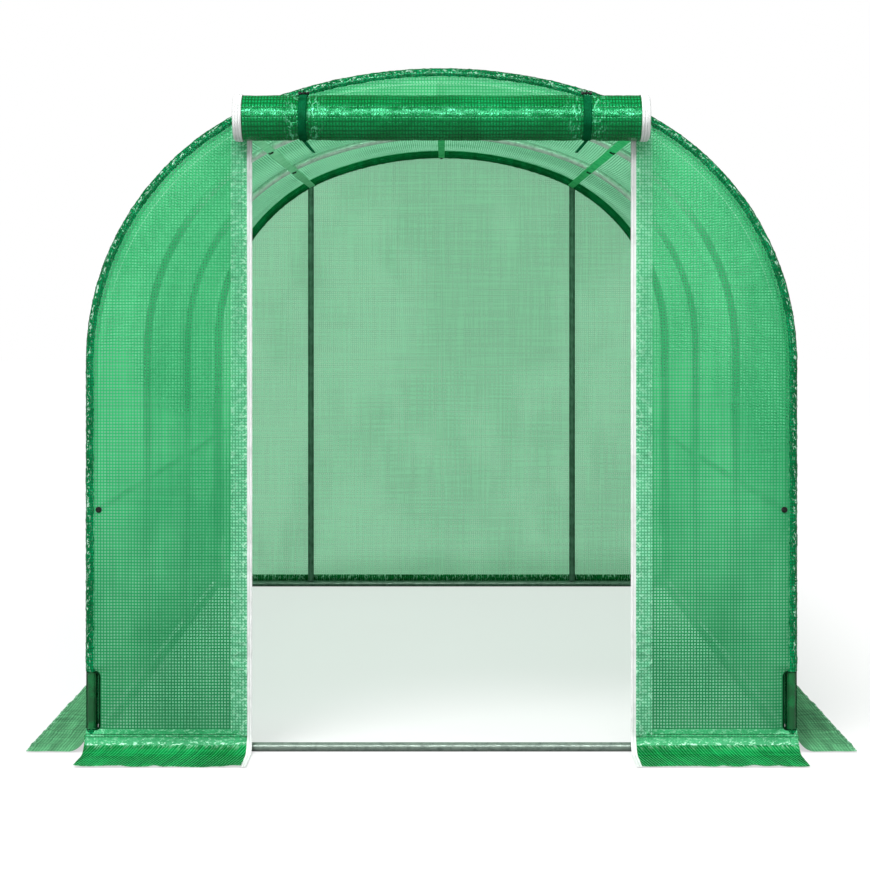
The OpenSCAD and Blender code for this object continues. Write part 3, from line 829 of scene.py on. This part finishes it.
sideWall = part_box("right_side_cover")[1].x
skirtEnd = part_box("right_ground_skirt")[1].y
halfWidth = arch["halfWidth"]
for way, wallAt, low, high, flare, name, node, material in (
    ("front", -frontY, -halfWidth, -zipOuter, 0.0, "frontLeftSkirt", "front_left_skirt", frontSkirtFilm),
    ("front", -frontY, zipOuter, halfWidth, 0.0, "frontRightSkirt", "front_right_skirt", frontSkirtFilm),
    ("back", -frontY, -halfWidth, halfWidth, 0.004, "rearSkirt", "rear_skirt", frontSkirtFilm),
    ("left", sideWall, -skirtEnd, skirtEnd, 0.0, "leftGroundSkirt", "left_ground_skirt", sideSkirtFilm),
    ("right", sideWall, -skirtEnd, skirtEnd, 0.0, "rightGroundSkirt", "right_ground_skirt", sideSkirtFilm),
):
    columns = max(60, round((high - low) / skirtSizes["columnWidth"]))
    skirt = makeSheet(name, columns, skirtSizes["rows"], skirtPlace(way, wallAt, low, high, flare), (0, 0, -3))
    finishPiece(skirt, material, "ground_skirt", node)
print("skirts made")

# ---- sleeves round the end hoops

sleeveSizes = {
    "radius": 0.0169, "inset": 0.0175, "foot": 0.027, "around": 34, "along": 1100, "bunch": 0.0015,
    "lapFrom": 195, "lap": 15,              # in degrees: where the edges overlap, on the inner side
    "cutFrom": 0.0035,                      # how far behind the hoop's middle the foot opening starts
}


def sleevePlace(way):
    s = sleeveSizes
    centre = arch["sleeveRadius"]
    total = sum(archLengths(centre))
    low, high = wallSizes["footLow"], wallSizes["footHigh"]

    def place(u, v):
        distance = s["foot"] + (total - 2 * s["foot"]) * v
        x, z, outX, outZ = archAt(distance, centre)
        # 90 degrees is the side away from the tunnel, 0 the outer edge
        turn = math.radians(s["lapFrom"] + (360 + s["lap"]) * u)
        upDown, inOut = math.sin(turn), math.cos(turn)
        gather = crease(distance, upDown * 0.012, inOut * 0.012, 36.0)
        fine = crease(distance * 1.3, upDown * 0.02, inOut * 0.02 + 3, 60.0)
        bunched = s["bunch"] * (0.8 * gather + 0.4 * fine) - 0.0003
        bunched *= smooth(0.0, 0.02, max(low - z, z - high))
        radius = s["radius"] + bunched + 0.0006 * smooth(360 / (360 + s["lap"]), 1.0, u)
        out, forward = radius * inOut, radius * upDown
        # painted highlights: pale glints where the gathers catch the light, along the middle and the outer
        # edge
        paintedLight = max(0.0, upDown) * (0.05 + 0.85 * math.exp(-((turn - 2 * math.pi - 0.95) / 0.38) ** 2))
        y = -arch["hoopY"] - forward
        return ((x + outX * out, y if way < 0 else -y, z + outZ * out),
                (turn * centre, distance), min(1.0, paintedLight))

    return place


def cutFoot(sleeve, way):
    # opens the sleeve's front at the foot of each leg
    low, high = wallSizes["footLow"], wallSizes["footHigh"]
    front = arch["hoopY"] - sleeveSizes["cutFrom"]
    selectOnly(sleeve)
    bpy.ops.object.mode_set(mode="EDIT")
    bpy.ops.mesh.select_mode(type="FACE")
    bpy.ops.mesh.select_all(action="DESELECT")
    bpy.ops.object.mode_set(mode="OBJECT")
    for face in sleeve.data.polygons:
        face.select = low < face.center.z < high and face.center.y * way > front
    bpy.ops.object.mode_set(mode="EDIT")
    bpy.ops.mesh.delete(type="FACE")
    bpy.ops.object.mode_set(mode="OBJECT")


for way, word in ((-1, "front"), (1, "rear")):
    sleeve = makeSheet(word + "Sleeve", sleeveSizes["around"], sleeveSizes["along"], sleevePlace(way), None)
    cutFoot(sleeve, way)
    finishPiece(sleeve, sleeveFilm, "sleeve", word + "_sleeve")
print("sleeves made")

# ---- zip tapes beside the door, down to the ground and out along the skirt's edge

zipSizes = {
    "inner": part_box("right_zip")[0].x, "top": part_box("right_zip")[1].z, "thick": 0.0012, "width": 0.0145,
    "lift": 0.0028, "ridge": 0.0012, "proud": 0.0015,
}
zipStraight = zipSizes["top"] - foldRadius
zipLength = zipStraight + skirtLength(zipSizes["lift"])


def zipPlace(side):
    s = zipSizes

    def place(u, v):
        x = s["inner"] + (zipOuter + 0.0005 - s["inner"]) * u
        along = zipLength * v
        ridge = s["ridge"] * math.exp(-((u - 0.25) / 0.12) ** 2)
        # painted shade: a darker line down the tape's middle, beside the coil's ridge, where a groove would
        # lie in shade
        grooveShade = 0.5 * math.exp(-((u - 0.52) / 0.07) ** 2)
        if along < zipStraight:
            z = s["top"] - along
            sway = frontFold(zipOuter, z) * (0.4 + 0.6 * u)
            return (side * x, frontY - s["proud"] - sway - ridge, z), (x, along), grooveShade
        out, z = skirtSection(along - zipStraight, s["lift"] + ridge)[:2]
        return (side * x, frontY - out, z), (x, along), grooveShade

    return place


for side, word in bothSides:
    zipTape = makeSheet(word + "ZipTape", 14, 330, zipPlace(side), (0, 0, 0.5))
    addThickness(zipTape, zipSizes["thick"])
    finishPiece(zipTape, whiteTape, "white_tape", word + "_zip")
print("zips made")

# ---- the rolled-up door: one long sheet in a spiral, with its white tapes at the ends

rollLow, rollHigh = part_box("rolled_door")
endLow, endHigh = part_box("right_roll_end")
rollSizes = {
    "x": rollHigh.x - 0.004, "y": (rollLow.y + rollHigh.y) / 2, "z": (rollLow.z + rollHigh.z) / 2,
    "radius": (rollHigh.z - rollLow.z) / 2 - 0.001, "core": 0.014, "turns": 7, "flat": 1.73, "layer": 0.0016,
    "strapX": [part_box("left_door_strap")[0].x + 0.014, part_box("right_door_strap")[1].x - 0.014],
    "pinch": 0.0050,
}


def rollRadius(turned):
    # turned is how far along the sheet: 0 at the core and 1 where it joins the header, behind the roll
    r = rollSizes
    lastTurn = 1 - 1 / r["turns"]
    if turned < lastTurn:
        return r["core"] + (r["radius"] - r["layer"] - r["core"]) * turned / lastTurn
    return r["radius"] - r["layer"] * (1 - turned) / (1 - lastTurn)


def rollAngle(turned):
    return -2 * math.pi * rollSizes["turns"] * (1 - turned) + math.radians(25)


def rollPinch(x):
    # how far the straps pull the roll in at x
    return sum(rollSizes["pinch"] * math.exp(-((x - strap) / 0.020) ** 2) for strap in rollSizes["strapX"])


def rollPlace(u, v):
    r = rollSizes
    x = -r["x"] + 2 * r["x"] * u
    turn = rollAngle(v)
    outer = smooth(0.80, 0.87, v)
    radius = rollRadius(v) - rollPinch(x) * outer
    upDown, inOut = math.sin(turn) * 0.05, math.cos(turn) * 0.05
    nearStrap = sum(math.exp(-((x - strap) / 0.045) ** 2) for strap in r["strapX"])
    dent = 0.0014 * wobble(x * 0.8, upDown, inOut, 9.0)
    dent -= 0.0030 * crease(x * 1.6, upDown, inOut, 19.0) * nearStrap
    dent -= 0.0012 * crease(x * 0.8, upDown, inOut, 26.0)
    radius += min(0.0008, dent - 0.0004) * outer
    # painted highlights: pale glints on the roll beside each strap
    paintedLight = 0.50 * outer * sum(math.exp(-((abs(x - strap) - 0.026) / 0.020) ** 2) for strap in r["strapX"])
    return ((x, r["y"] + radius * math.cos(turn), r["z"] + radius * math.sin(turn)),
            (x + 2, v * r["flat"]), min(1.0, paintedLight))


rolledDoor = makeSheet("rolledDoor", 230, 400, rollPlace, None)
finishPiece(rolledDoor, rollFilm, "roll", "rolled_door")


endSizes = {"inner": endLow.x - 0.004, "outer": endHigh.x - 0.006, "thick": 0.0022}


def rollEndPlace(side):

    def place(u, v):
        turn = rollAngle(v)
        ribbed = abs(math.sin(3 * math.pi * u)) ** 0.5
        ridge = 0.0022 * ribbed - 0.0030 * smooth(0.70, 1.0, u)
        radius = rollRadius(v) - 0.0004 + ridge
        radius += 0.0004 * wobble(math.cos(turn), math.sin(turn), side * 3.0 + u, 1.5)
        x = endSizes["inner"] + (endSizes["outer"] - endSizes["inner"]) * u
        # painted shade: the valleys between the ribs are darkened
        return ((side * x, rollSizes["y"] + radius * math.cos(turn), rollSizes["z"] + radius * math.sin(turn)),
                (x, v * rollSizes["flat"]), (1 - ribbed) ** 2)

    return place


for side, word in bothSides:
    rollEnd = makeSheet(word + "RollEnd", 24, 330, rollEndPlace(side), None)
    addThickness(rollEnd, endSizes["thick"])
    finishPiece(rollEnd, whiteTape, "white_tape", word + "_roll_end")
print("roll made")

# ---- straps round the roll, each with a loose end and a black toggle

strapSizes = {
    "thick": 0.0016, "width": 0.022, "radius": rollSizes["radius"] - 0.0012,
    "tailWidth": 0.011, "tailLength": 0.034, "tailTwist": 0.9,
}


def strapPlace(middle):
    def place(u, v):
        turn = 2 * math.pi * v
        x = middle + strapSizes["width"] * (u - 0.5) + 0.001 * math.sin(turn * 1.3)
        edge = 0.0006 * abs(2 * u - 1) ** 3
        radius = strapSizes["radius"] - edge
        return ((x, rollSizes["y"] + radius * math.cos(turn), rollSizes["z"] + radius * math.sin(turn)),
                (x, v * 0.41), 0.0)

    return place


def tailPlace(middle, lean):
    # the loose end hangs from under the roll, with a slight twist
    def place(u, v):
        down = strapSizes["tailLength"] * v
        twist = strapSizes["tailTwist"] * v
        across = strapSizes["tailWidth"] * (u - 0.5)
        x = middle + lean * down * 0.85 + across * math.cos(twist)
        y = rollSizes["y"] - 0.004 + across * math.sin(twist) - 0.002 * v
        z = rollSizes["z"] - strapSizes["radius"] - down
        return (x, y, z), (across, down), 0.0

    return place


toggleSizes = {
    "radius": 0.0042, "long": 0.030, "above": 0.0052, "waist": 0.62, "flare": 0.55, "loop": 0.0052,
    "loopThick": 0.0019,
}


def makeToggle(name, middle):
    # a barrel with a waist and two flared ears, and a loop round its middle
    s = toggleSizes
    centre = (middle, rollSizes["y"], rollSizes["z"] + strapSizes["radius"] + s["above"])
    sideways = (0, math.pi / 2, 0)
    startClean()
    bpy.ops.mesh.primitive_cylinder_add(vertices=20, radius=s["radius"], depth=s["long"], rotation=sideways,
                                        location=centre)
    toggle = bpy.context.object
    toggle.name = toggle.data.name = name
    bpy.ops.object.transform_apply(location=True, rotation=True, scale=True)
    editAll(toggle, lambda: bpy.ops.mesh.subdivide(number_cuts=3))
    for point in toggle.data.vertices:
        away = abs(point.co.x - middle) / (s["long"] / 2)
        swell = s["waist"] + s["flare"] * smooth(0.2, 0.95, away)
        point.co.y = centre[1] + (point.co.y - centre[1]) * swell * 1.25
        point.co.z = centre[2] + (point.co.z - centre[2]) * swell * 1.05
    startClean()
    bpy.ops.mesh.primitive_torus_add(major_radius=s["loop"], minor_radius=s["loopThick"], major_segments=20,
                                     minor_segments=8, rotation=sideways, location=centre)
    toggle.select_set(True)
    bpy.context.view_layer.objects.active = toggle
    bpy.ops.object.join()
    bpy.ops.object.transform_apply(location=True, rotation=True, scale=True)
    roundEdges(toggle, 0.0006, 50, 40)
    return toggle


for middle, word, lean, standsFor in (
    (rollSizes["strapX"][0], "left", 1, ["strap_buckles"]),     # the two toggles stand for one node
    (rollSizes["strapX"][1], "right", -1, []),
):
    strap = makeSheet(word + "DoorStrap", 6, 96, strapPlace(middle), None)
    addThickness(strap, strapSizes["thick"])
    finishPiece(strap, webbing, "strap", word + "_door_strap")
    tail = makeSheet(word + "StrapTail", 4, 12, tailPlace(middle, lean), None)
    addThickness(tail, strapSizes["thick"])
    finishPiece(tail, webbing, "strap")
    finishPiece(makeToggle(word + "StrapToggle", middle), blackPlastic, "buckle", *standsFor)
print("straps made")

# ---- bolts through the roof purlins, on both sides of each inner hoop

boltSizes = {
    "depth": 0.0336, "head": 0.0045, "high": 0.0045, "washer": 0.0012, "beside": 0.0195,
    "rows": (-0.575, 0.0, 0.575),           # the middles of the three purlins
}


def addBolt(x, y):
    # a six-sided head and its washer, square to the arch
    s = boltSizes
    along = next(d / 1000 for d in range(1000, 9000) if archAt(d / 1000, s["depth"])[0] >= x)
    foundX, z, outX, outZ = archAt(along, s["depth"])
    turn = (0, math.atan2(outX, outZ), 0)
    startClean()
    bpy.ops.mesh.primitive_cylinder_add(vertices=6, radius=s["head"], depth=s["high"], rotation=turn,
                                        location=(foundX, y, z))
    head = bpy.context.object
    startClean()
    bpy.ops.mesh.primitive_cylinder_add(vertices=20, radius=s["head"] * 1.45, depth=s["washer"], rotation=turn,
                                        location=(foundX + outX * s["washer"], y, z + outZ * s["washer"]))
    bpy.context.object.select_set(True)
    head.select_set(True)
    bpy.context.view_layer.objects.active = head
    bpy.ops.object.join()
    return head


heads = [addBolt(x, y + off) for x in boltSizes["rows"] for y in hoopYs[1:3]
         for off in (-boltSizes["beside"], boltSizes["beside"])]
startClean()
for head in heads:
    head.select_set(True)
bpy.context.view_layer.objects.active = heads[0]
bpy.ops.object.join()
bpy.ops.object.transform_apply(location=True, rotation=True, scale=True)
crossingBolts = bpy.context.object
crossingBolts.name = crossingBolts.data.name = "crossingBolts"
roundEdges(crossingBolts, 0.0005, 40, 35)
finishPiece(crossingBolts, blackPlastic, "bolt_cap")
print("bolts made")

# ---- floor, light and camera

studio = {
    "floor": 60.0, "seenFloor": 0.30, "floorLift": 0.62, "lightingFloor": 0.26,
    "sunTurn": (30, -6, -20), "sunPower": 2.5, "sunSoft": 22, "ambient": 0.62, "shine": 0.12, "behind": 1.0,
}
startClean()
bpy.ops.mesh.primitive_plane_add(size=studio["floor"], location=(0, 0, -0.0005))
floor = bpy.context.object
floor.name = "floor"
pale = startMaterial("paleFloor")       # it looks brighter than it lights the tunnel
rays = addNode(pale, "LightPath").outputs["Is Camera Ray"]
seenFloor = addNode(pale, "BsdfDiffuse", {"Color": rgba((1, 1, 1), studio["seenFloor"])})
lift = addNode(pale, "Emission", {"Color": rgba((1, 1, 1)), "Strength": studio["floorLift"]})
seenFloor = addNode(pale, "AddShader", {0: seenFloor.outputs[0], 1: lift.outputs[0]})
dullFloor = addNode(pale, "BsdfDiffuse", {"Color": rgba((1, 1, 1), studio["lightingFloor"])})
both = addNode(pale, "MixShader", {0: rays, 1: dullFloor.outputs[0], 2: seenFloor.outputs[0]})
addNode(pale, "OutputMaterial", {"Surface": both.outputs[0]})
floor.data.materials.append(pale)

scene = bpy.context.scene
world = bpy.data.worlds.new("studio")
scene.world = world
world.use_nodes = True
world.node_tree.nodes.clear()
rays = addNode(world, "LightPath").outputs
around, inShine, behind = [
    addNode(world, "Background", {"Color": rgba((1, 1, 1)), "Strength": studio[word]}).outputs[0]
    for word in ("ambient", "shine", "behind")]
lit = addNode(world, "MixShader", {0: rays["Is Glossy Ray"], 1: around, 2: inShine}).outputs[0]
seen = addNode(world, "MixShader", {0: rays["Is Camera Ray"], 1: lit, 2: behind}).outputs[0]
addNode(world, "OutputWorld", {"Surface": seen})

startClean()
bpy.ops.object.light_add(type="SUN", location=(0, -4, 6))
sun = bpy.context.object
sun.rotation_euler = [math.radians(a) for a in studio["sunTurn"]]
sun.data.energy = studio["sunPower"]
sun.data.angle = math.radians(studio["sunSoft"])
sun.visible_glossy = False


def addSoftbox(name, place, aim, size, power):
    bpy.ops.object.light_add(type="AREA", location=place)
    lamp = bpy.context.object
    lamp.name = name
    lamp.data.shape = "RECTANGLE"
    lamp.data.size, lamp.data.size_y = size
    lamp.data.energy = power
    lamp.rotation_euler = (Vector(aim) - Vector(place)).to_track_quat("-Z", "Y").to_euler()
    return lamp


addSoftbox("frontFill", (0.0, -7.5, 4.9), (0, -1.5, 1.5), (5.0, 1.5), 200)
addSoftbox("leftBox", (-5.0, -5.0, 3.0), (-0.5, -1.0, 1.0), (0.6, 3.0), 70)
addSoftbox("rightBox", (5.5, -4.0, 3.4), (0.5, -1.0, 1.0), (0.6, 3.0), 60)
# the long box only shines in glossy surfaces, as the streak along the roll
streakBox = addSoftbox("streakBox", (0.0, -7.0, 4.3), (0, -1.5, 1.7), (6.0, 0.9), 420)
streakBox.visible_diffuse = False
# a little light under the roof, as the pale film gives
roofFill = addSoftbox("roofFill", (0.0, -0.4, 0.7), (0, 0.1, 1.9), (0.9, 1.6), 7.5)
roofFill.visible_camera = False
roofFill.visible_glossy = False

view = {"distance": 5.23, "height": 1.28, "lens": 77.0, "shift": (-0.0075, -0.160)}
bpy.ops.object.camera_add(location=(0.0, -arch["hoopY"] - view["distance"], view["height"]),
                          rotation=(math.pi / 2, 0, 0))
camera = bpy.context.object
camera.data.lens = view["lens"]
camera.data.sensor_width = 36
camera.data.shift_x, camera.data.shift_y = view["shift"]
camera.data.clip_end = 200
scene.camera = camera
scene.view_settings.view_transform = "Standard"
print("studio made")
